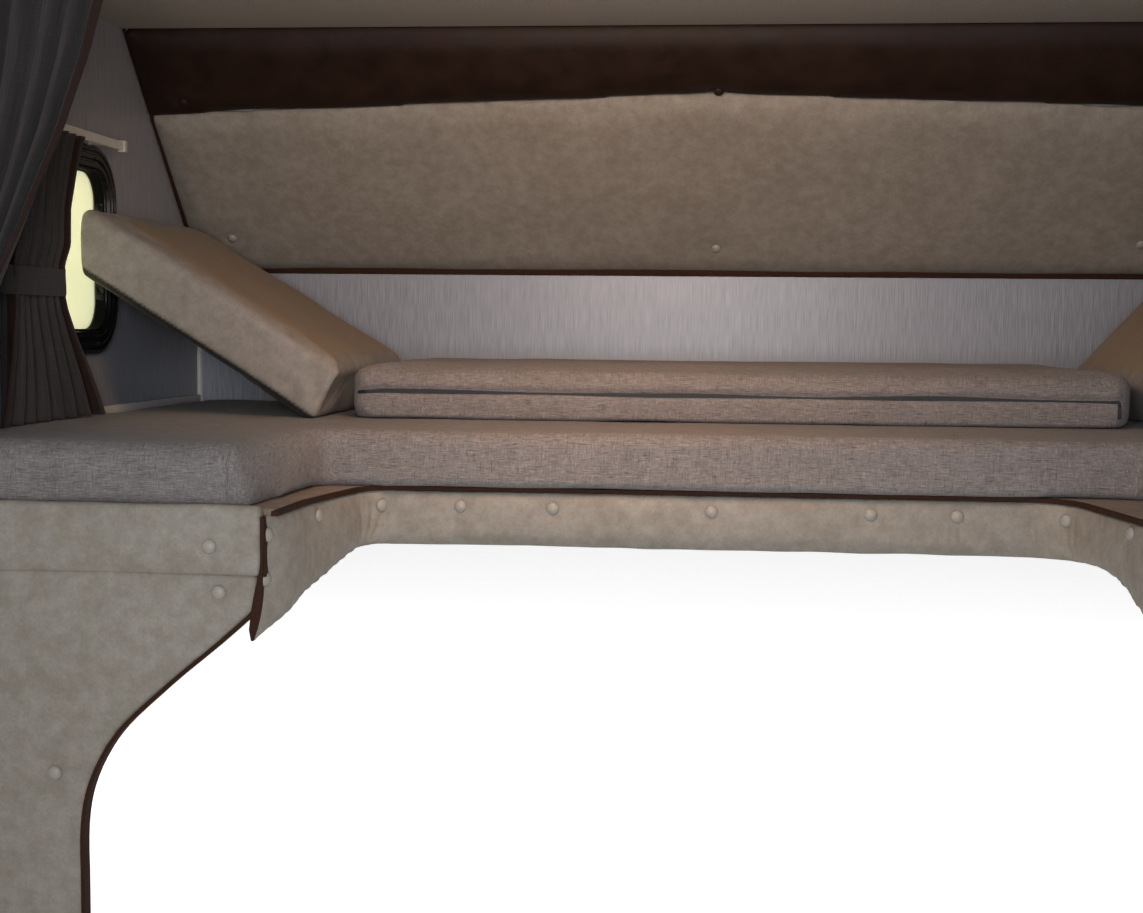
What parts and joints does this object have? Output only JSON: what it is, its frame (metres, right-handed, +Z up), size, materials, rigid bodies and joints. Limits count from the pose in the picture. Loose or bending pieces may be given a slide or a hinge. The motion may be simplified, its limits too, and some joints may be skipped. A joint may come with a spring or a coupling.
{
  "type": "motorhome over-cab bunk section",
  "caption": "Over-cab bunk of a motorhome: front cap, walls with windows, sandwich deck with a cut-out, mattress, loose cushions, curtains and padded surround of the cab opening.",
  "frame": {"origin": "underside of the deck on the centreline, 900 mm forward of the rear edge of its wings, where the deck seats on the cab roof", "axes": "+X to the right as seen from the living space, +Y forward towards the nose, +Z up"},
  "size_m": [2.54, 1.49, 2.22],
  "materials": {
    "beige_vinyl": "matt",
    "brown_vinyl": "matt",
    "bolster_vinyl": "matt",
    "grey_paint": "satin",
    "ceiling_vinyl": "matt",
    "aluminium": "satin",
    "white_rail": "satin",
    "plywood": "matt",
    "underside_skin": "satin",
    "curtain_cloth": "matt",
    "tweed": "matt",
    "steel_plate": "satin",
    "wallpaper": "matt",
    "gelcoat": "gloss",
    "black_frame": "gloss",
    "window_glass": "gloss"
  },
  "bodies": {
    "bunk": {"arch_pad": "beige_vinyl", "arch_trim": "brown_vinyl", "bolster_left": "bolster_vinyl", "bolster_right": "bolster_vinyl", "bulkhead_left": "grey_paint", "bulkhead_right": "grey_paint", "ceiling_panel": "ceiling_vinyl", "coach_flange_left": "aluminium", "coach_flange_right": "aluminium", "curtain_rail_left": "white_rail", "curtain_rail_right": "white_rail", "deck_board": "plywood", "deck_core": "underside_skin", "deck_nosing": "beige_vinyl", "drape_left": "curtain_cloth", "drape_right": "curtain_cloth", "drape_track": "white_rail", "fascia_left": "beige_vinyl", "fascia_right": "beige_vinyl", "foot_left": "steel_plate", "foot_right": "steel_plate", "header_pad": "brown_vinyl", "liner_front": "wallpaper", "liner_left": "wallpaper", "liner_right": "wallpaper", "mattress": "tweed", "nose_cap": "gelcoat", "roof_panel": "gelcoat", "roof_seat": "aluminium", "seam_strip": "wallpaper", "side_panel_left": "beige_vinyl", "side_panel_right": "beige_vinyl", "side_trim_left": "brown_vinyl", "side_trim_right": "brown_vinyl", "slope_pad": "beige_vinyl", "wall_left": "gelcoat", "wall_right": "gelcoat", "window_curtain_left": "curtain_cloth", "window_curtain_right": "curtain_cloth", "window_frame_left": "black_frame", "window_frame_right": "black_frame", "window_pane_left": "window_glass", "window_pane_right": "window_glass", "window_ring_left": "black_frame", "window_ring_right": "black_frame"},
    "fill": {"fill_cushion": "tweed"}
  },
  "joints": [
    {"name": "fill_cushion_draw", "type": "slide", "parent": "bunk", "child": "fill", "axis": [0, -1, 0], "range_m": [0, 1.4]}
  ]
}
